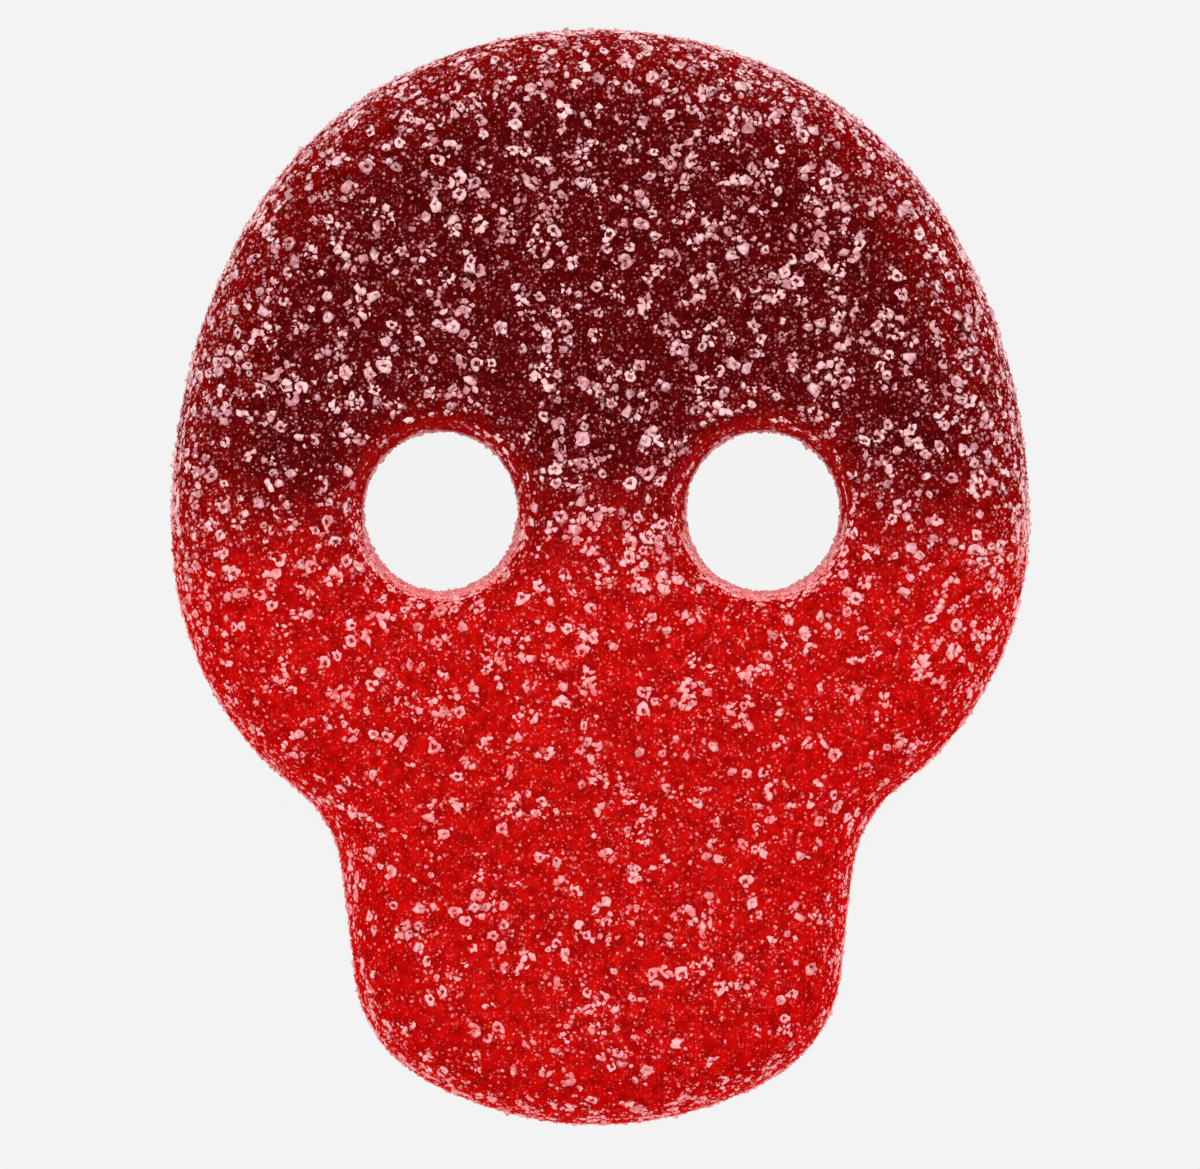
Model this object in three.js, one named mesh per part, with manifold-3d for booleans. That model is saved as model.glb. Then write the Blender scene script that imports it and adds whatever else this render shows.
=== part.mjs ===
// Sour gummy skull: one piece of fruit gel cast in a mould, with two eye holes right through it and a coat
// of coarse sour sugar. It lies on its flat cast back, face up. Millimetres, +Z up out of the face, +Y
// towards the crown of the skull, and the origin at the middle of the underside.
import * as THREE from "three";
import { MeshSurfaceSampler } from "three/addons/math/MeshSurfaceSampler.js";
import { mergeVertices } from "three/addons/utils/BufferGeometryUtils.js";
import Module from "manifold-3d";

const wasm = await Module();
wasm.setup();

// Outline of the gel, from the top of the crown clockwise to the chin. Each arc runs on from the last in
// the same direction, and the chin's own radius follows, so that the outline closes on the centre line.
const crownY = 20.07;
const crownRadius = 14.69;
const crownSweep = 56.5;
const templeRadius = 20.66;
const templeSweep = 32.6;
const cheekRadius = 12.37;
const cheekSweep = 52.8;
const notchRadius = 4.38; // hollow curve where the cheek runs into the jaw
const notchSweep = 46.1;
const jawLength = 4.01;
const chinCornerRadius = 4.9;
const chinCornerSweep = 54.7;

// The casting isn't quite even: each term moves the outline in and out by size, in waves round it.
const outlineWaves = [
  { waves: 2, size: 0.05, turn: -1.11 },
  { waves: 3, size: 0.05, turn: 2.52 },
  { waves: 4, size: 0.06, turn: -2.05 },
  { waves: 5, size: 0.08, turn: -1.62 },
];

// Thickness, from the flat back up to the middle of the face.
const thickness = 9;
const backEdgeInset = 0.7; // round edge at the back
const backEdgeHeight = 0.9;
const draft = 0.3; // how far the sides lean in towards the face
const faceEdgeInset = 2.3; // round shoulder at the face
const faceEdgeHeight = 2.9;
const crownRise = 0.7; // how far the face swells above its shoulder
const faceUnevenness = 0.06; // a slow swell over the face, with its waves below in radians per mm
const swellX = { pace: 0.55, turn: 1.2 };
const swellY = { pace: 0.43, turn: -0.6 };

// Eye holes, tapered like the pins that cast them, and widest at the face.
const eyeSpacing = 11.72;
const eyeShift = 0.12; // both holes sit a little to the right of the centre line
const eyeY = 2.39;
const eyeWidth = 5.8;
const eyeHeight = 6.02;
const eyeTaper = 0.3;
const eyeLip = 1.0; // rounds the rim over into the face
const eyeLipHeight = 1.4;
const eyeBackLip = 0.35;
const faceAtEyes = 8.7;
const pinPast = 1; // how far the casting pins reach past the back and the face

// Largest sugar grains, at true size, on the face and the sides.
const grainCount = 190;
const grainSmallest = 0.55;
const grainLargest = 0.8;
const grainSunk = 0.2; // how deep a grain's middle lies in the gel, as a share of its size
const grainSlimmest = 0.7; // depth and height of the slimmest grain, as a share of its length
const grainWear = 0.28; // how far its most worn corner is drawn in
const grainSpacing = 1.9;
const grainSeed = 71;
const triesPerGrain = 60;

// Mesh fineness. The shrinks are the rings that fill the back and the face, as shares of their edge.
const outlineSteps = 96;
const backShrinks = [0.35, 0.7, 0.92];
const backSteps = 4;
const sideSteps = 2;
const shoulderSteps = 5;
const faceShrinks = [0.84, 0.66, 0.48, 0.3, 0.14];
const eyeSides = 32;
const eyeSteps = 4;
const mergeWithin = 1e-4;
const bodyCentre = new THREE.Vector2(0, -0.85); // the outline is seen whole from here

const degrees = THREE.MathUtils.degToRad;

// Adds an arc to the path that runs on from its end, turning clockwise for a positive sweep.
function turn(path, state, radius, sweep) {
  const side = Math.sign(sweep);
  const angle = state.heading + (side * Math.PI) / 2; // from the arc's centre back to the path's end
  const centre = new THREE.Vector2(
    state.end.x - Math.cos(angle) * radius,
    state.end.y - Math.sin(angle) * radius,
  );
  path.absarc(centre.x, centre.y, radius, angle, angle - degrees(sweep), side > 0);
  state.heading -= degrees(sweep);
  state.end.set(
    centre.x + Math.cos(angle - degrees(sweep)) * radius,
    centre.y + Math.sin(angle - degrees(sweep)) * radius,
  );
}

// Right half of the outline, from the crown to the chin.
function halfOutline() {
  const path = new THREE.Path();
  const state = { heading: 0, end: new THREE.Vector2(0, crownY) };
  turn(path, state, crownRadius, crownSweep);
  turn(path, state, templeRadius, templeSweep);
  turn(path, state, cheekRadius, cheekSweep);
  turn(path, state, notchRadius, -notchSweep);
  state.end.x += Math.cos(state.heading) * jawLength;
  state.end.y += Math.sin(state.heading) * jawLength;
  path.lineTo(state.end.x, state.end.y);
  turn(path, state, chinCornerRadius, chinCornerSweep);
  const chinSweep = Math.PI + state.heading;
  turn(path, state, state.end.x / Math.sin(chinSweep), THREE.MathUtils.radToDeg(chinSweep));
  return path;
}

// The whole outline, anticlockwise, as points with their outward normals.
function outlinePoints() {
  const half = halfOutline().getSpacedPoints(outlineSteps / 2);
  const left = half.map((p) => new THREE.Vector2(-p.x, p.y));
  const right = half.slice(1, -1).reverse();
  const loop = [...left, ...right];
  return loop.map((p, i) => {
    const before = loop[(i + loop.length - 1) % loop.length];
    const after = loop[(i + 1) % loop.length];
    const normal = new THREE.Vector2(after.y - before.y, before.x - after.x).normalize();
    const angle = Math.atan2(p.x - bodyCentre.x, p.y - bodyCentre.y);
    const push = outlineWaves.reduce((sum, w) => sum + w.size * Math.sin(w.waves * angle + w.turn), 0);
    return { point: p.clone().addScaledVector(normal, push), normal };
  });
}

// Rings of the body from the middle of the back to the middle of the face. inset moves a ring in from
// the outline, and shrink then draws it towards the middle.
function bodyRings() {
  const rings = [];
  const shoulderZ = thickness - crownRise;
  for (const shrink of backShrinks) rings.push({ inset: backEdgeInset, z: 0, shrink });
  for (let i = 0; i <= backSteps; i++) {
    const t = ((i / backSteps) * Math.PI) / 2;
    rings.push({
      inset: backEdgeInset * (1 - Math.sin(t)),
      z: backEdgeHeight * (1 - Math.cos(t)),
      shrink: 1,
    });
  }
  const sideTop = shoulderZ - faceEdgeHeight;
  for (let i = 1; i < sideSteps; i++) {
    const t = i / sideSteps;
    rings.push({ inset: draft * t, z: THREE.MathUtils.lerp(backEdgeHeight, sideTop, t), shrink: 1 });
  }
  for (let i = 0; i <= shoulderSteps; i++) {
    const t = ((i / shoulderSteps) * Math.PI) / 2;
    rings.push({
      inset: draft + faceEdgeInset * (1 - Math.cos(t)),
      z: sideTop + faceEdgeHeight * Math.sin(t),
      shrink: 1,
    });
  }
  for (const shrink of faceShrinks) {
    rings.push({
      inset: draft + faceEdgeInset,
      z: shoulderZ + crownRise * (1 - shrink ** 2) ** 2,
      shrink,
    });
  }
  return rings;
}

// Closed skin over the rings, with a fan at each end.
function bodyGeometry() {
  const outline = outlinePoints();
  const rings = bodyRings();
  const sides = outline.length;
  const vertices = [];
  const faces = [];
  for (const ring of rings) {
    for (const { point, normal } of outline) {
      const p = point.clone().addScaledVector(normal, -ring.inset);
      p.sub(bodyCentre).multiplyScalar(ring.shrink).add(bodyCentre);
      const strength = faceUnevenness * (ring.z / thickness) ** 3;
      const waveX = Math.sin(p.x * swellX.pace + swellX.turn);
      const waveY = Math.cos(p.y * swellY.pace + swellY.turn);
      vertices.push(p.x, p.y, ring.z + strength * waveX * waveY);
    }
  }
  const backMiddle = vertices.length / 3;
  vertices.push(bodyCentre.x, bodyCentre.y, 0);
  const faceMiddle = backMiddle + 1;
  vertices.push(bodyCentre.x, bodyCentre.y, thickness);
  const last = (rings.length - 1) * sides;
  for (let i = 0; i < sides; i++) {
    const j = (i + 1) % sides;
    faces.push(backMiddle, j, i);
    faces.push(faceMiddle, last + i, last + j);
    for (let r = 0; r < last; r += sides) {
      faces.push(r + i, r + j, r + sides + j);
      faces.push(r + i, r + sides + j, r + sides + i);
    }
  }
  const geometry = new THREE.BufferGeometry();
  geometry.setAttribute("position", new THREE.Float32BufferAttribute(vertices, 3));
  geometry.setIndex(faces);
  return geometry;
}

// What casts one eye hole: a tapered pin that flares out above the face and below the back.
function eyePin(x) {
  const neck = eyeWidth / 2;
  const wide = neck + eyeTaper;
  const profile = [new THREE.Vector2(0, -pinPast), new THREE.Vector2(neck + eyeBackLip, -pinPast)];
  for (let i = 0; i <= eyeSteps; i++) {
    const t = ((i / eyeSteps) * Math.PI) / 2;
    profile.push(new THREE.Vector2(neck + eyeBackLip * (1 - Math.sin(t)), eyeBackLip * (1 - Math.cos(t))));
  }
  for (let i = 0; i <= eyeSteps; i++) {
    const t = ((i / eyeSteps) * Math.PI) / 2;
    const z = faceAtEyes - eyeLipHeight * (1 - Math.sin(t));
    profile.push(new THREE.Vector2(wide + eyeLip * (1 - Math.cos(t)), z));
  }
  profile.push(new THREE.Vector2(wide + eyeLip, thickness + pinPast));
  profile.push(new THREE.Vector2(0, thickness + pinPast));
  const pin = new THREE.LatheGeometry(profile, eyeSides);
  pin.rotateX(Math.PI / 2);
  pin.scale(1, eyeHeight / eyeWidth, 1);
  pin.translate(x, eyeY, 0);
  return pin;
}

// One sugar grain: a small block with its corners worn in by uneven amounts.
function grainGeometry(size, random) {
  const depth = size * THREE.MathUtils.lerp(grainSlimmest, 1, random());
  const height = size * THREE.MathUtils.lerp(grainSlimmest, 1, random());
  const grain = solidSource(new THREE.BoxGeometry(size, depth, height));
  const corner = grain.getAttribute("position");
  for (let i = 0; i < corner.count; i++) {
    const worn = 1 - grainWear * random();
    corner.setXYZ(i, corner.getX(i) * worn, corner.getY(i) * worn, corner.getZ(i) * worn);
  }
  return grain;
}

// The geometry with its shared corners merged, and nothing left on them but their places.
function solidSource(geometry) {
  geometry.deleteAttribute("normal");
  geometry.deleteAttribute("uv");
  return mergeVertices(geometry, mergeWithin);
}

function toSolid(geometry) {
  const merged = solidSource(geometry);
  return new wasm.Manifold(
    new wasm.Mesh({
      numProp: 3,
      vertProperties: merged.getAttribute("position").array,
      triVerts: new Uint32Array(merged.index.array),
    }),
  );
}

function toGeometry(solid) {
  const mesh = solid.getMesh();
  const geometry = new THREE.BufferGeometry();
  geometry.setAttribute("position", new THREE.BufferAttribute(mesh.vertProperties, 3));
  geometry.setIndex(new THREE.BufferAttribute(mesh.triVerts, 1));
  return geometry;
}

// Whether a grain may sit here: clear of the back, of the eye holes and of the grains already placed.
function isFree(place, size, placed) {
  if (place.z < backEdgeHeight + size) return false;
  for (const side of [-1, 1]) {
    const dx = (place.x - eyeShift - (side * eyeSpacing) / 2) / (eyeWidth / 2 + eyeTaper + eyeLip);
    const dy = (place.y - eyeY) / (eyeHeight / 2 + eyeTaper + eyeLip);
    if (Math.hypot(dx, dy) < 1) return false;
  }
  return placed.every((other) => other.distanceTo(place) > grainSpacing);
}

// Grains spread evenly over the face and sides, the largest first.
function sugarGrains(body) {
  const random = () => THREE.MathUtils.seededRandom();
  THREE.MathUtils.seededRandom(grainSeed);
  const skin = new THREE.Mesh(toGeometry(body).toNonIndexed());
  const sampler = new MeshSurfaceSampler(skin).setRandomGenerator(random).build();
  const place = new THREE.Vector3();
  const normal = new THREE.Vector3();
  const placed = [];
  const grains = [];
  for (let tries = 0; placed.length < grainCount && tries < triesPerGrain * grainCount; tries++) {
    const size = THREE.MathUtils.lerp(grainLargest, grainSmallest, placed.length / grainCount);
    sampler.sample(place, normal);
    if (!isFree(place, size, placed)) continue;
    placed.push(place.clone());
    const grain = grainGeometry(size, random);
    const tumble = new THREE.Euler(random() * Math.PI, random() * Math.PI, random() * Math.PI);
    grain.applyMatrix4(new THREE.Matrix4().makeRotationFromEuler(tumble));
    const middle = place.clone().addScaledVector(normal, -grainSunk * size);
    grain.translate(middle.x, middle.y, middle.z);
    grains.push(grain);
  }
  return grains;
}

function gummyGeometry() {
  let body = toSolid(bodyGeometry());
  for (const side of [-1, 1]) {
    body = body.subtract(toSolid(eyePin(eyeShift + (side * eyeSpacing) / 2)));
  }
  for (const grain of sugarGrains(body)) body = body.add(toSolid(grain));
  const geometry = toGeometry(body);
  geometry.computeBoundingBox();
  const middle = geometry.boundingBox.getCenter(new THREE.Vector3());
  return geometry.translate(-middle.x, -middle.y, -geometry.boundingBox.min.z);
}

const redGel = new THREE.MeshStandardMaterial({ color: "#b3161a", roughness: 0.45, metalness: 0 });

const gummySkull = new THREE.Mesh(gummyGeometry(), redGel);
gummySkull.name = "gummy_skull";

const part = new THREE.Group();
part.add(gummySkull);

export default part;
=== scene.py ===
# Sour gummy skull: cast red gel with a coat of coarse sour sugar, lying face up on a pale floor.
import math

import bpy
import numpy as np
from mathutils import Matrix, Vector
from mathutils.bvhtree import BVHTree


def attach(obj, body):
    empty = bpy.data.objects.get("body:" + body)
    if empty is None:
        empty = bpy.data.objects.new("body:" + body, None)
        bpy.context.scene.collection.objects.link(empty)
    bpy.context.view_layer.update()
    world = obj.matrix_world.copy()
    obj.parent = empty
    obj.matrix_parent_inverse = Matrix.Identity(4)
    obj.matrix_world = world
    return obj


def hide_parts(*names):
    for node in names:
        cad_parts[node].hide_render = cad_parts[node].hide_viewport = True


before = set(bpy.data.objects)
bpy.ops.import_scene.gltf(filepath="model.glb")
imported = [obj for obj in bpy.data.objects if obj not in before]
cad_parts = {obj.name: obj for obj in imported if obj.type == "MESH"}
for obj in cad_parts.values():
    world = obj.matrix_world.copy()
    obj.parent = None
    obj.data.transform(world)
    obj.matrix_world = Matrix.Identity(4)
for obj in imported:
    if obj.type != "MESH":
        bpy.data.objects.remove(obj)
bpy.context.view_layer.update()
mm = 0.001
dice = np.random.default_rng(20)  # one seeded source for all that is scattered


def toLinear(hexColour):
    channels = [int(hexColour[i:i + 2], 16) / 255 for i in (1, 3, 5)]
    return [c / 12.92 if c <= 0.04045 else ((c + 0.055) / 1.055) ** 2.4 for c in channels] + [1]


def addNode(tree, kind, values=None, links=None, **settings):
    made = tree.nodes.new(kind)
    for name, value in settings.items():
        setattr(made, name, value)
    for socket, value in (values or {}).items():
        made.inputs[socket].default_value = value
    for socket, source in (links or {}).items():
        tree.links.new(source, made.inputs[socket])
    return made


def newMaterial(name):
    material = bpy.data.materials.new(name)
    material.use_nodes = True
    tree = material.node_tree
    return material, tree, tree.nodes["Principled BSDF"]


def deselectAll():
    if bpy.context.object and bpy.context.object.mode != "OBJECT":
        bpy.ops.object.mode_set(mode="OBJECT")
    bpy.ops.object.select_all(action="DESELECT")


def applyModifier(piece, kind, **settings):
    deselectAll()
    piece.select_set(True)
    bpy.context.view_layer.objects.active = piece
    modifier = piece.modifiers.new(kind.lower(), kind)
    for name, value in settings.items():
        setattr(modifier, name, value)
    bpy.ops.object.modifier_apply(modifier=modifier.name)


def pointsOf(mesh):
    points = np.empty(len(mesh.vertices) * 3, np.float32)
    mesh.vertices.foreach_get("co", points)
    return points.reshape(-1, 3).astype(float)


def setAttribute(mesh, name, values):
    attribute = mesh.attributes.new(name, "FLOAT", "POINT")
    attribute.data.foreach_set("value", np.asarray(values, np.float32).ravel())


print("casting the gel")
gel = {
    "middle": (-0.083, -0.052),  # mm, moves the cast onto the CAD's own middle
    "crownY": 20.07,
    "arcs": [(14.69, 56.5), (20.66, 32.6), (12.37, 52.8), (4.38, -46.1)],  # radius mm and turn in degrees
    "jawLength": 4.01,
    "chinCorner": (4.9, 54.7),
    "waves": [(2, 0.05, -1.11), (3, 0.05, 2.52), (4, 0.06, -2.05), (5, 0.08, -1.62)],
    "centre": (0, -0.85),
    "steps": 192,
    "backEdge": (0.7, 0.9),  # inset and height of the round edge at the back
    "draft": 0.3,
    "shoulder": (2.3, 2.9),
    "shoulderZ": 8.3,
    "band": 0.1,  # the upright strip between the back edge and the side
    "edgeSteps": 6,
    "shoulderSteps": 10,
    "shrinks": [1, 0.92, 0.84, 0.75, 0.66, 0.57, 0.48, 0.39, 0.3, 0.2, 0.1],  # loops of the crowned face
    "crownRise": 0.7,
    "voxel": 0.2,
    "relief": 0.05,
    "reliefSize": 0.8,
}
eyes = {
    "spacing": 11.72,
    "shift": 0.12,
    "y": 2.39,
    "width": 5.67,
    "height": 5.89,
    "taper": 0.3,
    "lip": 1.0,
    "lipHeight": 1.4,
    "backLip": 0.35,
    "faceZ": 8.7,
    "pinFrom": -1,
    "pinTo": 10.5,
    "backSteps": 4,
    "lipSteps": 8,
    "sides": 72,
}


def gelOutline():
    # arcs that run on from each other, from the crown clockwise to the chin
    heading = 0.0
    end = np.array([0.0, gel["crownY"]])
    points = [end.copy()]

    def arc(radius, sweep):
        nonlocal heading, end
        side = math.copysign(1, sweep)
        count = max(4, int(abs(sweep) * radius / 8))
        start = heading + side * math.pi / 2
        centre = end - radius * np.array([math.cos(start), math.sin(start)])
        for i in range(1, count + 1):
            angle = start - math.radians(sweep) * i / count
            points.append(centre + radius * np.array([math.cos(angle), math.sin(angle)]))
        heading -= math.radians(sweep)
        end = points[-1]

    for radius, sweep in gel["arcs"]:
        arc(radius, sweep)
    end = end + gel["jawLength"] * np.array([math.cos(heading), math.sin(heading)])
    points.append(end)
    arc(*gel["chinCorner"])
    chinSweep = math.pi + heading
    arc(end[0] / math.sin(chinSweep), math.degrees(chinSweep))
    half = np.array(points)
    half[-1, 0] = 0
    loop = np.vstack([half, half[-2:0:-1] * (-1, 1)])
    # even steps round it, clockwise, then the slow waves of an uneven casting
    closed = np.vstack([loop, loop[:1]])
    run = np.concatenate([[0], np.cumsum(np.linalg.norm(np.diff(closed, axis=0), axis=1))])
    where = np.linspace(0, run[-1], gel["steps"], endpoint=False)
    even = np.column_stack([np.interp(where, run, closed[:, k]) for k in (0, 1)])
    along = np.roll(even, -1, axis=0) - np.roll(even, 1, axis=0)
    outward = np.column_stack([-along[:, 1], along[:, 0]]) / np.linalg.norm(along, axis=1)[:, None]
    angle = np.arctan2(even[:, 0] - gel["centre"][0], even[:, 1] - gel["centre"][1])
    push = sum(size * np.sin(waves * angle + turn) for waves, size, turn in gel["waves"])
    return even + outward * push[:, None]


def selectFlat(piece, sign):
    # the one face that looks straight up or down and lies furthest that way
    bpy.ops.mesh.select_all(action="DESELECT")
    bpy.ops.object.mode_set(mode="OBJECT")
    faces = [f for f in piece.data.polygons if f.normal.z * sign > 0.99]
    furthest = max(faces, key=lambda f: f.center.z * sign)
    furthest.select = True
    bpy.ops.object.mode_set(mode="EDIT")
    return furthest


def quarterRound(inset, height, steps):
    # inset and rise of each step, from upright to flat
    turns = [math.pi / 2 * i / steps for i in range(steps + 1)]
    profile = [(inset * (1 - math.cos(t)), height * math.sin(t)) for t in turns]
    return [(b[0] - a[0], b[1] - a[1]) for a, b in zip(profile, profile[1:])]


def insetSteps(steps):
    for inset, rise in steps:
        bpy.ops.mesh.inset(thickness=inset * mm, depth=rise * mm, use_even_offset=True)


def castGel():
    deselectAll()
    outline = gelOutline()
    backInset, backHeight = gel["backEdge"]
    bpy.ops.mesh.primitive_circle_add(vertices=gel["steps"], radius=15 * mm, fill_type="NGON")
    piece = bpy.context.object
    piece.name = "gel"
    flat = np.column_stack([outline, np.full(len(outline), backHeight)]) * mm
    piece.data.vertices.foreach_set("co", flat.ravel())
    piece.data.update()
    bpy.ops.object.mode_set(mode="EDIT")
    bpy.ops.mesh.select_all(action="SELECT")
    bpy.ops.mesh.extrude_region_move(TRANSFORM_OT_translate={"value": (0, 0, gel["band"] * mm)})
    bpy.ops.mesh.select_all(action="SELECT")
    bpy.ops.mesh.normals_make_consistent(inside=False)
    selectFlat(piece, -1)
    insetSteps(quarterRound(backInset, backHeight, gel["edgeSteps"]))
    selectFlat(piece, 1)
    shoulderInset, shoulderHeight = gel["shoulder"]
    sideTop = gel["shoulderZ"] - shoulderHeight
    insetSteps([(gel["draft"], sideTop - backHeight - gel["band"])])
    insetSteps(quarterRound(shoulderInset, shoulderHeight, gel["shoulderSteps"]))
    shrinks = gel["shrinks"]
    rises = [gel["crownRise"] * (1 - s ** 2) ** 2 for s in shrinks]
    centre = (gel["centre"][0] * mm, gel["centre"][1] * mm, 0)
    for i in range(1, len(shrinks)):
        rise = (rises[i] - rises[i - 1]) * mm
        scale = shrinks[i] / shrinks[i - 1]
        bpy.ops.mesh.extrude_region_move(TRANSFORM_OT_translate={"value": (0, 0, rise)})
        bpy.ops.transform.resize(value=(scale, scale, 1), center_override=centre)
    bpy.ops.object.mode_set(mode="OBJECT")
    return piece


def castEyePin(x):
    # a tapered pin, flared where it meets the back and the face
    neck = eyes["width"] / 2
    wide = neck + eyes["taper"]
    profile = [(neck + eyes["backLip"], eyes["pinFrom"])]
    for i in range(eyes["backSteps"] + 1):
        t = math.pi / 2 * i / eyes["backSteps"]
        profile.append((neck + eyes["backLip"] * (1 - math.sin(t)), eyes["backLip"] * (1 - math.cos(t))))
    for i in range(eyes["lipSteps"] + 1):
        t = math.pi / 2 * i / eyes["lipSteps"]
        lipZ = eyes["faceZ"] - eyes["lipHeight"] * (1 - math.sin(t))
        profile.append((wide + eyes["lip"] * (1 - math.cos(t)), lipZ))
    profile.append((wide + eyes["lip"], eyes["pinTo"]))
    deselectAll()
    bpy.ops.mesh.primitive_circle_add(vertices=eyes["sides"], radius=profile[0][0] * mm,
                                      fill_type="NGON",
                                      location=(x * mm, eyes["y"] * mm, eyes["pinFrom"] * mm))
    pin = bpy.context.object
    bpy.ops.object.transform_apply(location=True)
    centre = (x * mm, eyes["y"] * mm, 0)
    bpy.ops.object.mode_set(mode="EDIT")
    bpy.ops.mesh.select_all(action="SELECT")
    bpy.ops.transform.resize(value=(1, eyes["height"] / eyes["width"], 1), center_override=centre)
    for (r0, z0), (r1, z1) in zip(profile, profile[1:]):
        bpy.ops.mesh.extrude_region_move(TRANSFORM_OT_translate={"value": (0, 0, (z1 - z0) * mm)})
        bpy.ops.transform.resize(value=(r1 / r0, r1 / r0, 1), center_override=centre)
    bpy.ops.mesh.select_all(action="SELECT")
    bpy.ops.mesh.normals_make_consistent(inside=False)
    bpy.ops.object.mode_set(mode="OBJECT")
    return pin


gelPiece = castGel()
for side in (-1, 1):
    pin = castEyePin(eyes["shift"] + side * eyes["spacing"] / 2)
    applyModifier(gelPiece, "BOOLEAN", object=pin, operation="DIFFERENCE", solver="EXACT")
    bpy.data.objects.remove(pin)
applyModifier(gelPiece, "REMESH", mode="VOXEL", voxel_size=gel["voxel"] * mm, use_smooth_shade=True)
applyModifier(gelPiece, "SMOOTH", factor=0.5, iterations=3)
reliefTexture = bpy.data.textures.new("gelRelief", "CLOUDS")
reliefTexture.noise_scale = gel["reliefSize"] * mm
reliefTexture.noise_depth = 1
applyModifier(gelPiece, "DISPLACE", texture=reliefTexture, texture_coords="LOCAL",
              strength=gel["relief"] * mm, mid_level=0.5)
gelPoints = pointsOf(gelPiece.data)
gelPoints[:, :2] += np.array(gel["middle"]) * mm
gelPoints[:, 2] = np.maximum(gelPoints[:, 2], 0)
gelPiece.data.vertices.foreach_set("co", gelPoints.astype(np.float32).ravel())
gelPiece.data.update()
gelPiece.data.polygons.foreach_set("use_smooth", [True] * len(gelPiece.data.polygons))
print("gel faces", len(gelPiece.data.polygons))


def eyeDistance(points):
    # mm from the nearer eye hole's neck, below zero inside it
    away = []
    for side in (-1, 1):
        x = eyes["shift"] + side * eyes["spacing"] / 2 + gel["middle"][0]
        y = eyes["y"] + gel["middle"][1]
        share = np.hypot((points[:, 0] / mm - x) / eyes["width"], (points[:, 1] / mm - y) / eyes["height"])
        away.append((share * 2 - 1) * eyes["width"] / 2)
    return np.minimum(*away)


def outlineDistance(points):
    # mm in from the widest outline, seen from above
    outline = gelOutline() + np.array(gel["middle"])
    flat = points[:, :2] / mm
    nearest = np.full(len(flat), 99.0)
    for a, b in zip(outline, np.roll(outline, -1, axis=0)):
        run = b - a
        t = np.clip(((flat - a) @ run) / (run @ run), 0, 1)
        nearest = np.minimum(nearest, np.linalg.norm(flat - a - t[:, None] * run, axis=1))
    return nearest


def paintedLightShare(points, normals):
    # how strongly a side gets a painted glow, standing in for the light that comes through the gel from
    # behind: on the sides, and most on those walls of the eye holes that look down the face
    side = np.clip(1 - np.abs(normals[:, 2]) * 1.3, 0, 1)
    return side * np.where(eyeDistance(points) < 1.2, 1.9 - np.clip(normals[:, 1], 0, 1), 1)


# how near a point is to the outer edge and to the eye rims, where the gel is painted brighter for the light
# that gets through it there
rims = {"edge": 3.6, "edgeFade": 1.4, "eye": 0.3, "eyeFade": 0.42}  # mm, and a power
edgeNear = np.clip(1 - outlineDistance(gelPoints) / rims["edge"], 0, 1) ** rims["edgeFade"]
eyeNear = np.exp(-np.maximum(eyeDistance(gelPoints) - rims["eye"], 0) / rims["eyeFade"])
gelNormals = np.empty(len(gelPoints) * 3, np.float32)
gelPiece.data.vertex_normals.foreach_get("vector", gelNormals)
setAttribute(gelPiece.data, "edgeNear", edgeNear)
setAttribute(gelPiece.data, "eyeNear", eyeNear)
# painted glow on the gel's sides and eye-hole walls
setAttribute(gelPiece.data, "paintedLight", paintedLightShare(gelPoints, gelNormals.reshape(-1, 3)))

print("scattering the sugar")
sugar = {  # sizes and gaps in mm, and how bare the eye rims and the jaw are left of each kind
    "rings": {"shape": "ring", "count": 920, "size": (0.42, 0.62), "gap": 0.46, "jitter": 0.04,
              "bare": 0.95},
    "clusters": {"shape": "cluster", "count": 1320, "size": (0.52, 0.8), "gap": 0.46, "jitter": 0.03,
                 "bare": 0.95},
    "crumbs": {"shape": "crumb", "count": 1150, "size": (0.3, 0.5), "gap": 0.28, "jitter": 0.1,
               "bare": 0.95},
    "blocks": {"shape": "block", "count": 60, "size": (0.24, 0.36), "gap": 0.24, "jitter": 0.1,
               "bare": 0.95},
    "grains": {"shape": "grain", "count": 3800, "size": (0.14, 0.28), "near": 0.8, "jitter": 0.12,
               "bare": 0.9},
    "dustCoarse": {"shape": "dust", "count": 20000, "size": (0.12, 0.22), "jitter": 0.1, "bare": 0.75},
    "dustFine": {"shape": "dust", "count": 13000, "size": (0.07, 0.12), "jitter": 0.1, "bare": 0.65},
}
spread = {
    "sunk": 0.12,  # how deep a grain's middle lies in the gel, as a share of its size
    "sunkBack": 0.4,  # on the back, pressed in by what the gummy lies on
    "tilt": 0.18,
    "sideLoss": 0.33,  # how much smaller the large pieces are on the sides, where the largest fell off
    "jawLoss": 0.07,  # the same on the jaw
    "clear": 0.85,  # share of the pieces with a clear middle
    "twins": 0.38,  # share of the rings and clusters that stand against another one
    "twinAway": (0.48, 0.6),  # mm
    "aloneGap": 1.45,  # how much further apart the others stand
    "nearAway": (0.24, 0.4),  # mm from a ring's middle to the grains that cling to it
    "toneSpread": 0.38,
    "paintedLightPale": 0.32,  # how much paler the sugar is painted where light comes through
    "holePaintedLight": 0.6,  # how much more of that painted light the hole walls get that look up the face
}
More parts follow.
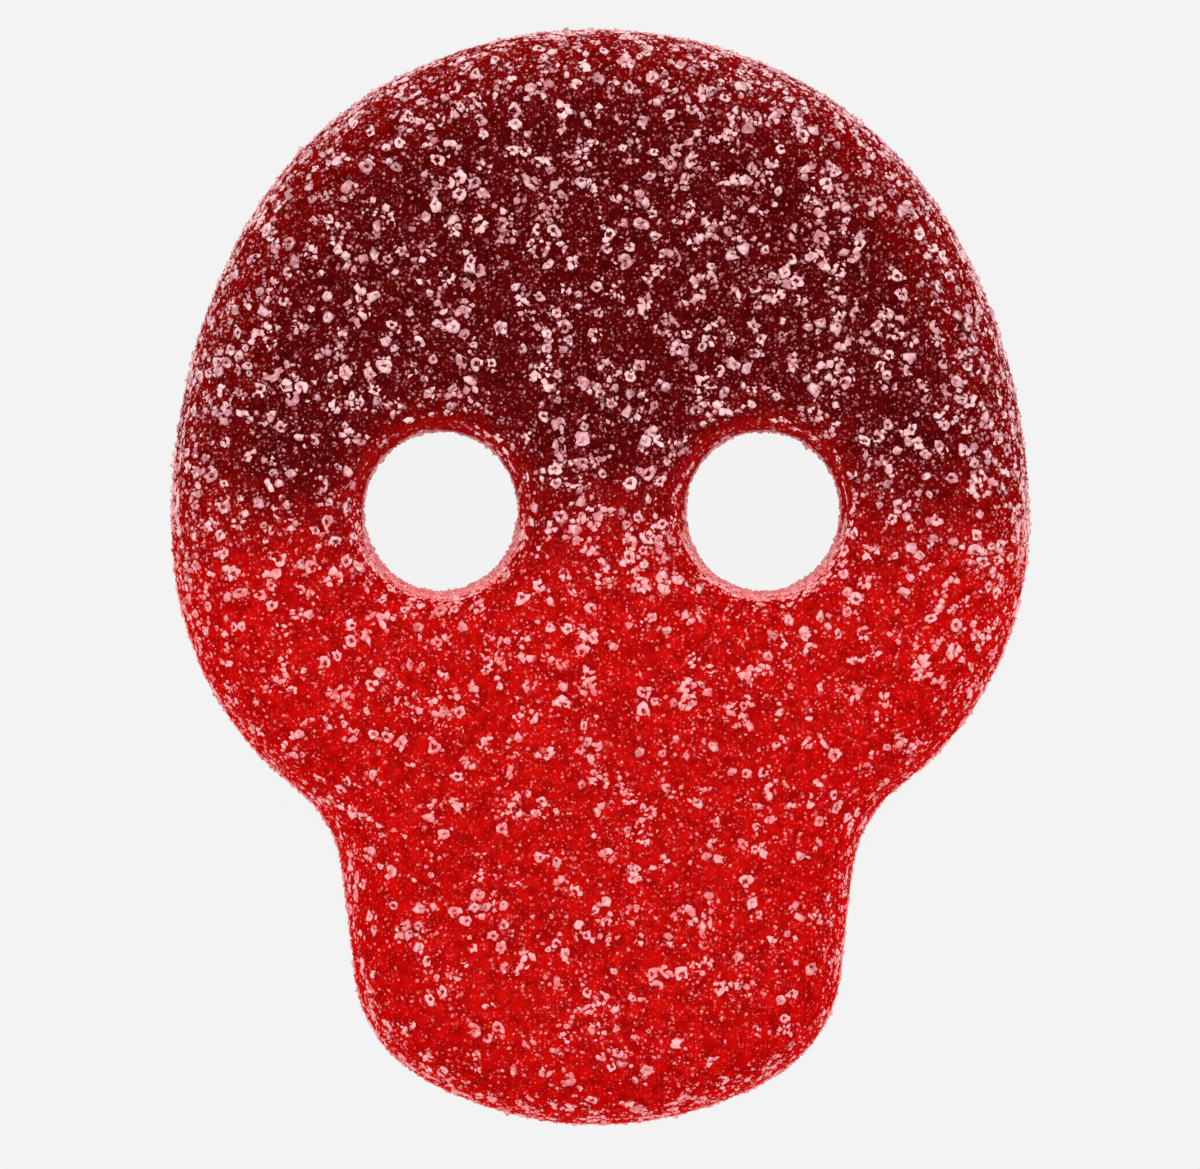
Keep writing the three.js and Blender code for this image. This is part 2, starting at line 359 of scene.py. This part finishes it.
coat = {  # how thick the sugar lies, where 1 is the middle of the crown, and what each place adds or takes
    "patches": 0.13,  # thicker and thinner from place to place, and twice that on the jaw
    "patchSize": (1.6, 4.0),  # mm
    "patchWaves": 8,
    "patchLimits": (0.2, 2),
    "back": 0.45,
    "footTop": 1.2,  # mm, where the foot of a wall starts to end
    "footFade": 0.6,
    "foot": (1, 0.8),  # more at the foot of the sides, and more again on the jaw
    "side": (0.6, 0.07),  # less on the sides above it, and less again on the jaw
    "shoulder": (0.3, 0.55),  # more on the shoulder, and less on the jaw's
    "lipFrom": 0.15,  # mm beyond the wall of an eye hole
    "lipFade": 0.6,
    "holeUp": (2.2, 0.3),  # more on the hole walls that look up the face, and less with each mm of height
    "holeWall": (0.7, 0.28),  # less on all hole walls, and less again for the kinds that leave them bare
    "holeUpKeeps": 0.75,  # of what the walls that look up the face would lose
    "holeFoot": 2,
    "jaw": (1.3, 0.7),  # less on the jaw for the kinds that leave it bare, and more for the finest
}
ringShape = {  # of a ring about 1 across
    "sides": 12,
    "radius": 0.38,
    "from": -0.25,
    "steps": ((0.28, 1.28), (0.2, 0.87), (0.06, 0.68), (-0.14, 0.42)),  # rise and scale, up and into the pit
    "rimRadius": 0.2,
    "pitRadius": 0.3,
    "pitShift": 0.04,
    "lobes": (3, 6),
    "knobs": 0.1,  # how uneven it is round its rim
    "knobSpread": 0.8,
    "knobRise": 0.05,
    "knobTone": 0.3,
    "lean": 0.08,
    "broken": 0.04,  # share of the rings that are open on one side
    "brokenDepth": 0.3,
    "brokenFrom": 0.3,
}
clusterShape = {  # of a cluster about 1 across
    "crystals": 6,
    "away": 0.28,
    "radius": 0.21,
    "grown": (0.75, 1.35),
    "missing": 0.12,  # share of the crystals that are only a stub
    "stub": 0.35,
    "pulled": (0.6, 1.15),
    "shift": 0.04,
    "toneSpread": 0.35,
}
dustShape = {"radius": 0.433, "shoulder": 0.25, "peak": 0.5, "root": -0.5}  # a low peak and a long root


def modelShape(shape):
    # one piece of sugar about 1 across: its points, its faces, and how far each point is in its clear middle
    # and on its skirt
    deselectAll()
    if shape == "ring":
        # crystals melted together round a clear spot: a low ring with a pit
        bpy.ops.mesh.primitive_circle_add(vertices=ringShape["sides"], radius=ringShape["radius"],
                                          fill_type="NGON", location=(0, 0, ringShape["from"]))
        bpy.ops.object.transform_apply(location=True)
        bpy.ops.object.mode_set(mode="EDIT")
        bpy.ops.mesh.select_all(action="SELECT")
        for rise, scale in ringShape["steps"]:
            bpy.ops.mesh.extrude_region_move(TRANSFORM_OT_translate={"value": (0, 0, rise)})
            bpy.ops.transform.resize(value=(scale, scale, 1), center_override=(0, 0, 0))
        bpy.ops.mesh.select_all(action="SELECT")
        bpy.ops.mesh.normals_make_consistent(inside=False)
        bpy.ops.object.mode_set(mode="OBJECT")
    elif shape == "cluster":
        # small crystals stuck together in a ring, with the gel between them
        away = clusterShape["away"]
        for i in range(clusterShape["crystals"]):
            turn = 2 * math.pi * i / clusterShape["crystals"]
            place = (away * math.cos(turn), away * math.sin(turn), 0)
            bpy.ops.mesh.primitive_uv_sphere_add(segments=5, ring_count=3, radius=clusterShape["radius"],
                                                 location=place)
            if i == 0:
                bpy.ops.object.transform_apply(location=True)
                bpy.ops.object.mode_set(mode="EDIT")
        bpy.ops.object.mode_set(mode="OBJECT")
    elif shape == "crumb":
        bpy.ops.mesh.primitive_uv_sphere_add(segments=8, ring_count=6, radius=0.5)
    elif shape == "grain":
        bpy.ops.mesh.primitive_uv_sphere_add(segments=5, ring_count=3, radius=0.5)
    elif shape == "dust":
        # a low peak, and a long root that is stuck in the gel
        peak, shoulder = dustShape["peak"], dustShape["shoulder"]
        bpy.ops.mesh.primitive_cone_add(vertices=4, radius1=dustShape["radius"], radius2=0,
                                        depth=peak - shoulder, end_fill_type="NGON",
                                        location=(0, 0, (peak + shoulder) / 2))
        bpy.ops.object.transform_apply(location=True)
        bpy.ops.object.mode_set(mode="EDIT")
        selectFlat(bpy.context.object, -1)
        bpy.ops.mesh.poke(offset=shoulder - dustShape["root"])
        bpy.ops.object.mode_set(mode="OBJECT")
    else:
        bpy.ops.mesh.primitive_cube_add(size=0.86)
        bpy.ops.object.mode_set(mode="EDIT")
        bpy.ops.mesh.select_all(action="SELECT")
        bpy.ops.mesh.bevel(offset=0.17, segments=1, affect="EDGES")
        bpy.ops.object.mode_set(mode="OBJECT")
    piece = bpy.context.object
    points = pointsOf(piece.data)
    faces = [list(f.vertices) for f in piece.data.polygons]
    bpy.data.objects.remove(piece)
    # the clear middle is on top, and the skirt goes down into the gel
    away, height = np.hypot(points[:, 0], points[:, 1]), points[:, 2]
    if shape == "ring":
        core = np.clip((0.25 - away) / 0.12, 0, 1) * (height > 0)
        skirt = np.clip((0.24 - height) / 0.2, 0, 1) * (away > 0.3)
    elif shape == "cluster":
        core = np.zeros(len(points))
        skirt = np.clip(0.5 - height / 0.1, 0, 1)
    else:
        core = np.clip(1.1 - away / 0.36, 0, 1) * (height > 0.2)
        skirt = np.clip((0.3 - height) / 0.18, 0, 1)
    return points, faces, core, skirt


gelPiece.data.calc_loop_triangles()
triangles = np.array([t.vertices[:] for t in gelPiece.data.loop_triangles])
triangleCorners = gelPoints[triangles]
cross = np.cross(triangleCorners[:, 1] - triangleCorners[:, 0], triangleCorners[:, 2] - triangleCorners[:, 0])
triangleAreas = np.linalg.norm(cross, axis=1) / 2
triangleNormals = cross / np.linalg.norm(cross, axis=1)[:, None]
triangleMiddles = triangleCorners.mean(axis=1)
gelTree = BVHTree.FromPolygons(gelPoints.tolist(), triangles.tolist())

# slow waves that run through the gel every way, and make patches where they meet its skin
patchWaves = dice.normal(size=(coat["patchWaves"], 3))
patchWaves /= np.linalg.norm(patchWaves, axis=1)[:, None]
patchWaves *= 2 * math.pi / (dice.uniform(*coat["patchSize"], (coat["patchWaves"], 1)) * mm)
patchTurns = dice.uniform(0, 2 * math.pi, coat["patchWaves"])


def redShare(points):
    # 0 on the crown, where the sugar lies thick and coarse, and 1 on the jaw
    return np.clip((1 - points[:, 1] / mm) / 4, 0, 1)


def sugarDensity(points, normals, bare):
    # how thick the sugar lies: the places first, each from 0 to 1, then what each does
    z = points[:, 2] / mm
    red = redShare(points)
    fromEye = eyeDistance(points)
    back = normals[:, 2] < -0.5
    level = np.abs(normals[:, 2])
    wall = np.clip(1.3 - level * 4, 0, 1)
    shoulder = np.clip(level * 4 - 0.8, 0, 1) * np.clip((0.99 - level) * 20, 0, 1)
    shoulder = shoulder * (fromEye > 1.5) * ~back
    lip = np.clip(1 - (fromEye - eyes["taper"] - coat["lipFrom"]) / coat["lipFade"], 0, 1) * ~back
    inHole = wall * (fromEye < 1)
    outside = wall * (fromEye >= 1)
    down = np.clip(0.2 - normals[:, 1] * 2, 0, 1)  # looks down the face
    up = np.clip(normals[:, 1] * 1.6, 0, 1)
    high = np.clip((z - coat["footTop"]) / coat["footFade"], 0, 1)
    foot = 1 - high
    patch = np.cos(points @ patchWaves.T + patchTurns).sum(axis=1) / 2
    density = np.clip(1 + coat["patches"] * (1 + red) * patch, *coat["patchLimits"])
    density *= 1 - lip * down * (1 - wall) * bare
    # it gathers on the hole walls that look up the face and at the foot of every wall, and falls off the rest
    most, less = coat["holeUp"]
    density *= 1 + inHole * up * np.clip(most - z * less, 0, 2)
    onCrown, onJaw = coat["shoulder"]
    density *= 1 + shoulder * (onCrown - onJaw * red)
    onAll, onBare = coat["holeWall"]
    density *= 1 - inHole * (1 - up * coat["holeUpKeeps"]) * (onAll + onBare * bare) * high
    density *= 1 + inHole * foot * coat["holeFoot"]
    footMore = coat["foot"][0] + coat["foot"][1] * red
    sideLess = coat["side"][0] + coat["side"][1] * red
    density *= 1 + outside * (footMore * foot - sideLess * high)
    density *= 1 - red * (coat["jaw"][0] * bare - coat["jaw"][1]) * (1 - lip)
    density[back] = coat["back"]
    return density


def sprinkle(count, bare):
    weights = triangleAreas * sugarDensity(triangleMiddles, triangleNormals, bare)
    chosen = dice.choice(len(triangles), count, p=weights / weights.sum())
    u, v = dice.random((2, count, 1))
    over = u + v > 1
    u, v = np.where(over, 1 - u, u), np.where(over, 1 - v, v)
    a, b, c = triangleCorners[chosen].transpose(1, 0, 2)
    return a + u * (b - a) + v * (c - a), triangleNormals[chosen]


def snapToGel(places):
    found = [gelTree.find_nearest(Vector(p))[:2] for p in places]
    return np.array([f[0][:] for f in found]), np.array([f[1][:] for f in found])


def beside(places, normals, away):
    # a place on the gel beside each of these
    across = np.cross(normals, dice.normal(size=places.shape))
    across /= np.linalg.norm(across, axis=1)[:, None]
    return snapToGel(places + across * dice.uniform(*away, (len(places), 1)) * mm)


largePlaces = np.empty((0, 3))


def keepApart(places, normals, gap, count):
    # those that keep their distance from every large piece so far
    global largePlaces
    kept = []
    for i, place in enumerate(places):
        if len(largePlaces) and np.min(np.sum((largePlaces - place) ** 2, axis=1)) < (gap * mm) ** 2:
            continue
        largePlaces = np.vstack([largePlaces, place])
        kept.append(i)
        if len(kept) == count:
            break
    return places[kept], normals[kept]


def sugarPlaces(settings):
    count, bare = settings["count"], settings["bare"]
    if settings["shape"] in ("ring", "cluster"):
        alone = int(count * (1 - spread["twins"]))
        aloneGap = settings["gap"] * spread["aloneGap"]
        places, normals = keepApart(*sprinkle(alone * 5, bare), aloneGap, alone)
        chosen = dice.integers(0, len(places), count * 3)
        twins, twinNormals = beside(places[chosen], normals[chosen], spread["twinAway"])
        twins, twinNormals = keepApart(twins, twinNormals, settings["gap"], count - alone)
        return np.vstack([places, twins]), np.vstack([normals, twinNormals])
    if "gap" in settings:
        return keepApart(*sprinkle(count * 4, bare), settings["gap"], count)
    if "near" in settings:
        clinging = int(count * settings["near"])
        chosen = dice.integers(0, len(largePlaces), clinging)
        hosts, hostNormals = snapToGel(largePlaces[chosen])
        near, nearNormals = beside(hosts, hostNormals, spread["nearAway"])
        places, normals = sprinkle(count - clinging, bare)
        return np.vstack([places, near]), np.vstack([normals, nearNormals])
    return sprinkle(count, bare)


def roughenRings(local, points):
    # lobes and knobs round each rim, the pit off the middle, and the rim higher on one side or open there;
    # gives back how much paler the knobs are
    count, sides = len(local), ringShape["sides"]
    angle = np.arctan2(points[:, 1], points[:, 0])
    flat = np.hypot(points[:, 0], points[:, 1])
    column = np.round(angle / (2 * math.pi) * sides).astype(int) % sides
    rim = (flat > ringShape["rimRadius"]) * (points[:, 2] > 0)
    pit = (flat < ringShape["pitRadius"])[None, :, None]
    lobeCounts = dice.integers(*ringShape["lobes"], (count, 1))
    lobes = np.cos(lobeCounts * angle + dice.uniform(0, 2 * math.pi, (count, 1)))
    knob = dice.normal(0, ringShape["knobSpread"], (count, sides))[:, column] + lobes
    local[:, :, :2] *= 1 + ringShape["knobs"] * knob[:, :, None]
    local[:, :, :2] += dice.normal(0, ringShape["pitShift"], (count, 1, 2)) * pit
    lean = np.cos(dice.uniform(0, 2 * math.pi, (count, 1)) + angle)
    gone = dice.random((count, 1)) < ringShape["broken"]
    sag = ringShape["brokenDepth"] * gone * np.clip(lean - ringShape["brokenFrom"], 0, 1)
    local[:, :, 2] += rim * (ringShape["lean"] * lean + ringShape["knobRise"] * knob - sag)
    return ringShape["knobTone"] * knob


def roughenClusters(local, points):
    # each crystal of its own size, nearer to or further from the middle, and some of them only a stub;
    # gives back how much paler each is
    count, crystals = len(local), clusterShape["crystals"]
    own = np.arange(len(points)) * crystals // len(points)
    middles = points.reshape(crystals, -1, 3).mean(axis=1)
    grown = dice.uniform(*clusterShape["grown"], (count, crystals))
    grown[dice.random((count, crystals)) < clusterShape["missing"]] = clusterShape["stub"]
    moved = middles * dice.uniform(*clusterShape["pulled"], (count, crystals, 1))
    moved += dice.normal(0, clusterShape["shift"], (count, crystals, 3))
    local[:] = (local - middles[own]) * grown[:, own, None] + moved[:, own]
    return dice.normal(0, clusterShape["toneSpread"], (count, crystals))[:, own]


def scatterSugar(name, settings):
    shape = settings["shape"]
    places, normals = sugarPlaces(settings)
    points, faces, core, skirt = modelShape(shape)
    count, corners = len(places), len(points)
    small, large = settings["size"]
    sizes = (small + (large - small) * dice.random(count) ** 1.5) * mm
    if "gap" in settings:
        sizes *= 1 - spread["sideLoss"] * np.clip(1 - np.abs(normals[:, 2]) * 1.5, 0, 1)
        sizes *= 1 - spread["jawLoss"] * redShare(places)
    isClear = dice.random(count) < spread["clear"]
    clear = np.where(isClear, dice.uniform(0.6, 1, count), dice.uniform(0, 0.25, count))
    local = points[None] + dice.normal(0, settings["jitter"], (count, corners, 3))
    knobTone = np.zeros((count, corners))
    if shape == "ring":
        knobTone = roughenRings(local, points)
    elif shape == "cluster":
        knobTone = roughenClusters(local, points)
    coreValues = core * clear[:, None] + dice.normal(0, 0.1, (count, corners)) * (core > 0)
    stretch = np.column_stack([dice.uniform(0.8, 1.2, (count, 2)), dice.uniform(0.7, 1.0, count)])
    local *= stretch[:, None]
    up = normals + dice.normal(0, spread["tilt"], (count, 3))
    up /= np.linalg.norm(up, axis=1)[:, None]
    across = np.cross(up, dice.normal(size=(count, 3)))
    across /= np.linalg.norm(across, axis=1)[:, None]
    axes = np.stack([across, np.cross(up, across), up], axis=1)
    turned = np.einsum("nkj,nji->nki", local, axes)
    sunk = np.where(normals[:, 2] < -0.5, spread["sunkBack"], spread["sunk"])
    turned = turned * sizes[:, None, None] + (places - normals * (sunk * sizes)[:, None])[:, None]
    mesh = bpy.data.meshes.new(name)
    made = [[c + i * corners for c in face] for i in range(count) for face in faces]
    mesh.from_pydata(turned.reshape(-1, 3).tolist(), [], made)
    setAttribute(mesh, "core", coreValues)
    setAttribute(mesh, "skirt", skirt * np.clip(0.15 + normals[:, 2:3] * 1.1, 0, 1))
    # painted light: sugar on the sides is painted paler and given a painted glow, and more again on the walls
    # of the eye holes that look up the face
    inHole = eyeDistance(places) < 0.5
    paintedLight = paintedLightShare(places, normals) + spread["holePaintedLight"] * inHole * np.clip(normals[:, 1], 0, 1)
    tone = dice.random((count, 1)) + dice.normal(0, spread["toneSpread"], (count, corners)) + knobTone
    tone += paintedLight[:, None] * spread["paintedLightPale"]
    if shape == "dust":
        # melted in at its edge, except where painted light keeps it pale
        tone *= (points[:, 2] > 0.2) + paintedLight[:, None]
    setAttribute(mesh, "tone", np.clip(tone, 0, 1))
    setAttribute(mesh, "paintedLight", np.repeat(paintedLight, corners))
    mesh.polygons.foreach_set("use_smooth", [shape != "block"] * len(mesh.polygons))
    piece = bpy.data.objects.new(name, mesh)
    bpy.context.scene.collection.objects.link(piece)
    print(name, "pieces", count, "triangles", sum(len(f) - 2 for f in faces) * count)
    return piece


sugarPieces = {name: scatterSugar(name, settings) for name, settings in sugar.items()}

print("mixing the materials")
colours = {
    "gelRed": "#a80806",
    "gelDark": "#4a0405",
    # edge and eye-rim colours are brighter, a painted glow for light that comes through the thin gel
    "gelEdgeGlowRed": "#b60404",
    "gelEdgeGlowDark": "#7c0202",
    "gelEyeGlowRed": "#aa0202",
    "gelEyeGlowDark": "#940606",
    "speckRed": "#f04a4a",
    "speckDark": "#b05254",
    "dustLowRed": "#c81a1c",
    "dustHighRed": "#ff8686",
    "dustLowDark": "#761e20",
    "dustHighDark": "#d48488",
    "sugarLowRed": "#e46e70",
    "sugarRed": "#ffb2b4",
    "sugarLowDark": "#bc747c",
    "sugarDark": "#fcc8ca",
    "coreRed": "#a00408",
    "coreDark": "#500008",
    # skirt colours: the gel that climbs round each piece, and painted shade that draws a dark outline at its
    # foot
    "skirtGelShadeRed": "#a80408",
    "skirtGelShadeDark": "#480006",
}
paint = {name: toLinear(value) for name, value in colours.items()}
shade = {"darkFrom": -1.9, "darkTo": 4.8, "wander": 1.6, "wanderSize": 5.0}  # mm up the face
glow = {"gel": 0.2, "sugar": 0.12}  # strength of the painted glow on a lit side, as a share of its own colour


def darkShare(tree):
    # the gel goes from bright red at the jaw to deep red at the crown, along a wandering line
    place = addNode(tree, "ShaderNodeTexCoord").outputs["Object"]
    split = addNode(tree, "ShaderNodeSeparateXYZ", links={0: place})
    noise = addNode(tree, "ShaderNodeTexNoise", {"Scale": 1 / (shade["wanderSize"] * mm), "Detail": 2},
                    {"Vector": place})
    drift = addNode(tree, "ShaderNodeMath", {1: 0.5}, {0: noise.outputs[0]}, operation="SUBTRACT")
    moved = addNode(tree, "ShaderNodeMath", {1: shade["wander"] * mm * 2},
                    {0: drift.outputs[0], 2: split.outputs["Y"]}, operation="MULTIPLY_ADD")
    share = addNode(tree, "ShaderNodeMapRange", {1: shade["darkFrom"] * mm, 2: shade["darkTo"] * mm},
                    {0: moved.outputs[0]}, interpolation_type="SMOOTHSTEP")
    return share.outputs[0]


# painted glow: a side gets emission in its own colour, standing in for light that comes through it from
# behind
def paintGlow(tree, shader, base, strength):
    # a side that is lit from behind glows in its own colour
    paintedLight = addNode(tree, "ShaderNodeAttribute", attribute_name="paintedLight").outputs["Fac"]
    power = addNode(tree, "ShaderNodeMath", {1: strength}, {0: paintedLight}, operation="MULTIPLY")
    tree.links.new(base, shader.inputs["Base Color"])
    tree.links.new(base, shader.inputs["Emission Color"])
    tree.links.new(power.outputs[0], shader.inputs["Emission Strength"])


def gelatineMaterial():
    # Cast gelatine and glucose gel, set in starch: soft, dull under the sugar, and full of fine sugar specks.
    material, tree, shader = newMaterial("castFruitGel")
    place = addNode(tree, "ShaderNodeTexCoord").outputs["Object"]
    dark = darkShare(tree)
    edge = addNode(tree, "ShaderNodeAttribute", attribute_name="edgeNear").outputs["Fac"]
    eye = addNode(tree, "ShaderNodeAttribute", attribute_name="eyeNear").outputs["Fac"]
    body = addNode(tree, "ShaderNodeMix", {6: paint["gelRed"], 7: paint["gelDark"]}, {0: dark},
                   data_type="RGBA")
    # painted glow: brighter colours at the outer edge and the eye rims, for light that comes through the thin
    # gel
    rim = addNode(tree, "ShaderNodeMix", {6: paint["gelEdgeGlowRed"], 7: paint["gelEdgeGlowDark"]}, {0: dark},
                  data_type="RGBA")
    eyeRimGlow = addNode(tree, "ShaderNodeMix", {6: paint["gelEyeGlowRed"], 7: paint["gelEyeGlowDark"]}, {0: dark},
                     data_type="RGBA")
    base = addNode(tree, "ShaderNodeMix", {}, {0: edge, 6: body.outputs[2], 7: rim.outputs[2]},
                   data_type="RGBA")
    base = addNode(tree, "ShaderNodeMix", {}, {0: eye, 6: base.outputs[2], 7: eyeRimGlow.outputs[2]},
                   data_type="RGBA")
    # cloudy patches about half a millimetre wide
    noise = addNode(tree, "ShaderNodeTexNoise", {"Scale": 2.2 / mm, "Detail": 3}, {"Vector": place})
    mottle = addNode(tree, "ShaderNodeMapRange", {1: 0.35, 2: 0.65, 3: 0.75, 4: 1.3}, {0: noise.outputs[0]})
    scaled = addNode(tree, "ShaderNodeVectorMath", links={0: base.outputs[2], "Scale": mottle.outputs[0]},
                     operation="SCALE")
    colour = scaled.outputs[0]
    speck = addNode(tree, "ShaderNodeMix", {6: paint["speckRed"], 7: paint["speckDark"]}, {0: dark},
                    data_type="RGBA")
    # sugar melted into the skin: specks of about 0.1 mm, at 6 and 9 to the millimetre
    for perMm, inner, outer, amount in ((6, 0.16, 0.38, 0.75), (9, 0.16, 0.38, 0.55)):
        cells = addNode(tree, "ShaderNodeTexVoronoi", {"Scale": perMm / mm}, {"Vector": place})
        spot = addNode(tree, "ShaderNodeMapRange", {1: outer, 2: inner}, {0: cells.outputs["Distance"]},
                       interpolation_type="SMOOTHSTEP")
        lot = addNode(tree, "ShaderNodeSeparateColor", links={0: cells.outputs["Color"]})
        strength = addNode(tree, "ShaderNodeMapRange", {1: 0.3, 4: amount}, {0: lot.outputs[0]})
        both = addNode(tree, "ShaderNodeMath", links={0: spot.outputs[0], 1: strength.outputs[0]},
                       operation="MULTIPLY")
        colour = addNode(tree, "ShaderNodeMix", {}, {0: both.outputs[0], 6: colour, 7: speck.outputs[2]},
                         data_type="RGBA").outputs[2]
    paintGlow(tree, shader, colour, glow["gel"])
    shader.inputs["Roughness"].default_value = 0.6
    shader.inputs["Specular IOR Level"].default_value = 0
    return material


def crystalMaterial():
    # Granulated sugar with sour powder: pale crystals, dark where one looks through them at the gel.
    material, tree, shader = newMaterial("sourSugarCrystals")
    dark = darkShare(tree)
    core = addNode(tree, "ShaderNodeAttribute", attribute_name="core").outputs["Fac"]
    skirt = addNode(tree, "ShaderNodeAttribute", attribute_name="skirt").outputs["Fac"]
    tone = addNode(tree, "ShaderNodeAttribute", attribute_name="tone").outputs["Fac"]
    low = addNode(tree, "ShaderNodeMix", {6: paint["sugarLowRed"], 7: paint["sugarLowDark"]}, {0: dark},
                  data_type="RGBA")
    pale = addNode(tree, "ShaderNodeMix", {6: paint["sugarRed"], 7: paint["sugarDark"]}, {0: dark},
                   data_type="RGBA")
    seenThrough = addNode(tree, "ShaderNodeMix", {6: paint["coreRed"], 7: paint["coreDark"]}, {0: dark},
                          data_type="RGBA")
    # the skirt is painted in the gel's colour, partly for the gel round its foot and partly as painted shade
    # that outlines each piece
    foot = addNode(tree, "ShaderNodeMix", {6: paint["skirtGelShadeRed"], 7: paint["skirtGelShadeDark"]}, {0: dark},
                   data_type="RGBA")
    sugarColour = addNode(tree, "ShaderNodeMix", {}, {0: tone, 6: low.outputs[2], 7: pale.outputs[2]},
                          data_type="RGBA")
    coreStep = addNode(tree, "ShaderNodeMapRange", {1: 0.5, 2: 0.8, 4: 0.95}, {0: core},
                       interpolation_type="SMOOTHSTEP")
    cored = addNode(tree, "ShaderNodeMix", {},
                    {0: coreStep.outputs[0], 6: sugarColour.outputs[2], 7: seenThrough.outputs[2]},
                    data_type="RGBA")
    skirtStep = addNode(tree, "ShaderNodeMapRange", {1: 0.1, 2: 0.6, 4: 0.96}, {0: skirt},
                        interpolation_type="SMOOTHSTEP")
    whole = addNode(tree, "ShaderNodeMix", {},
                    {0: skirtStep.outputs[0], 6: cored.outputs[2], 7: foot.outputs[2]}, data_type="RGBA")
    paintGlow(tree, shader, whole.outputs[2], glow["sugar"])
    # no gloss where it is wet with gel
    wet = addNode(tree, "ShaderNodeMath", links={0: coreStep.outputs[0], 1: skirtStep.outputs[0]},
                  operation="MAXIMUM")
    gloss = addNode(tree, "ShaderNodeMapRange", {3: 0.25, 4: 0}, {0: wet.outputs[0]})
    tree.links.new(gloss.outputs[0], shader.inputs["Specular IOR Level"])
    shader.inputs["Roughness"].default_value = 0.3
    shader.inputs["IOR"].default_value = 1.54
    return material


def dustMaterial():
    # Crushed sugar and acid powder, half melted into the gel, so that it takes the gel's colour.
    material, tree, shader = newMaterial("sourDust")
    dark = darkShare(tree)
    tone = addNode(tree, "ShaderNodeAttribute", attribute_name="tone").outputs["Fac"]
    low = addNode(tree, "ShaderNodeMix", {6: paint["dustLowRed"], 7: paint["dustLowDark"]}, {0: dark},
                  data_type="RGBA")
    pale = addNode(tree, "ShaderNodeMix", {6: paint["dustHighRed"], 7: paint["dustHighDark"]}, {0: dark},
                   data_type="RGBA")
    base = addNode(tree, "ShaderNodeMix", {}, {0: tone, 6: low.outputs[2], 7: pale.outputs[2]},
                   data_type="RGBA")
    paintGlow(tree, shader, base.outputs[2], glow["sugar"])
    shader.inputs["Roughness"].default_value = 0.45
    shader.inputs["Specular IOR Level"].default_value = 0.2
    return material


gelPiece.data.materials.append(gelatineMaterial())
crystals, dust = crystalMaterial(), dustMaterial()
for name, piece in sugarPieces.items():
    piece.data.materials.append(dust if name.startswith("dust") else crystals)
for piece in [gelPiece, *sugarPieces.values()]:
    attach(piece, "root")
    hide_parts("gummy_skull")

print("setting the studio")
studio = {
    "floorSize": 3.0,
    "floorGlow": 0.885,
    "lampDistance": 0.35,
    "lamps": [  # turn from +Y, height in degrees, width and depth in m, watts
        (0, 58, 0.4, 0.2, 0.65),
        (180, 30, 0.4, 0.15, 0.1),
        (90, 35, 0.3, 0.15, 0.05),
        (-90, 35, 0.3, 0.15, 0.05),
    ],
    "sky": 0.85,
    "cameraX": 0.053,  # mm from the middle of the cast
    "cameraY": -0.268,
    "cameraZ": 1.0,
    "frameWidth": 43.7,  # mm, at the widest part of the outline
}
deselectAll()
bpy.ops.mesh.primitive_grid_add(x_subdivisions=2, y_subdivisions=2, size=studio["floorSize"])
floor = bpy.context.object
floor.name = "floor"
bpy.ops.object.mode_set(mode="EDIT")
bpy.ops.mesh.select_all(action="SELECT")
bpy.ops.transform.translate(value=(0, 0, -0.15 * mm))
bpy.ops.object.mode_set(mode="OBJECT")
paper, tree, shader = newMaterial("paleFloor")
shader.inputs["Base Color"].default_value = toLinear("#1c1c1c")
shader.inputs["Roughness"].default_value = 0.9
shader.inputs["Specular IOR Level"].default_value = 0
shader.inputs["Emission Color"].default_value = (1, 1, 1, 1)
shader.inputs["Emission Strength"].default_value = studio["floorGlow"]
floor.data.materials.append(paper)

for turn, height, width, depth, watts in studio["lamps"]:
    flat = math.cos(math.radians(height))
    spot = Vector((flat * math.sin(math.radians(turn)), flat * math.cos(math.radians(turn)),
                   math.sin(math.radians(height)))) * studio["lampDistance"]
    lamp = bpy.data.lights.new("lamp", "AREA")
    lamp.shape = "RECTANGLE"
    lamp.size, lamp.size_y, lamp.energy = width, depth, watts
    lampObject = bpy.data.objects.new("lamp", lamp)
    lampObject.location = spot
    lampObject.rotation_euler = (-spot).to_track_quat("-Z", "Y").to_euler()
    bpy.context.scene.collection.objects.link(lampObject)

world = bpy.data.worlds.new("softRoom")
bpy.context.scene.world = world
world.use_nodes = True
world.node_tree.nodes["Background"].inputs["Color"].default_value = (1, 1, 1, 1)
world.node_tree.nodes["Background"].inputs["Strength"].default_value = studio["sky"]

lens = bpy.data.cameras.new("camera")
lens.sensor_width = 36
lens.lens = 36 * studio["cameraZ"] / (studio["frameWidth"] * mm)
lens.clip_start, lens.clip_end = 0.01, 10
camera = bpy.data.objects.new("camera", lens)
camera.location = ((gel["middle"][0] + studio["cameraX"]) * mm,
                   (gel["middle"][1] + studio["cameraY"]) * mm, studio["cameraZ"] + mm)
bpy.context.scene.collection.objects.link(camera)
bpy.context.scene.camera = camera
bpy.context.scene.view_settings.view_transform = "Standard"
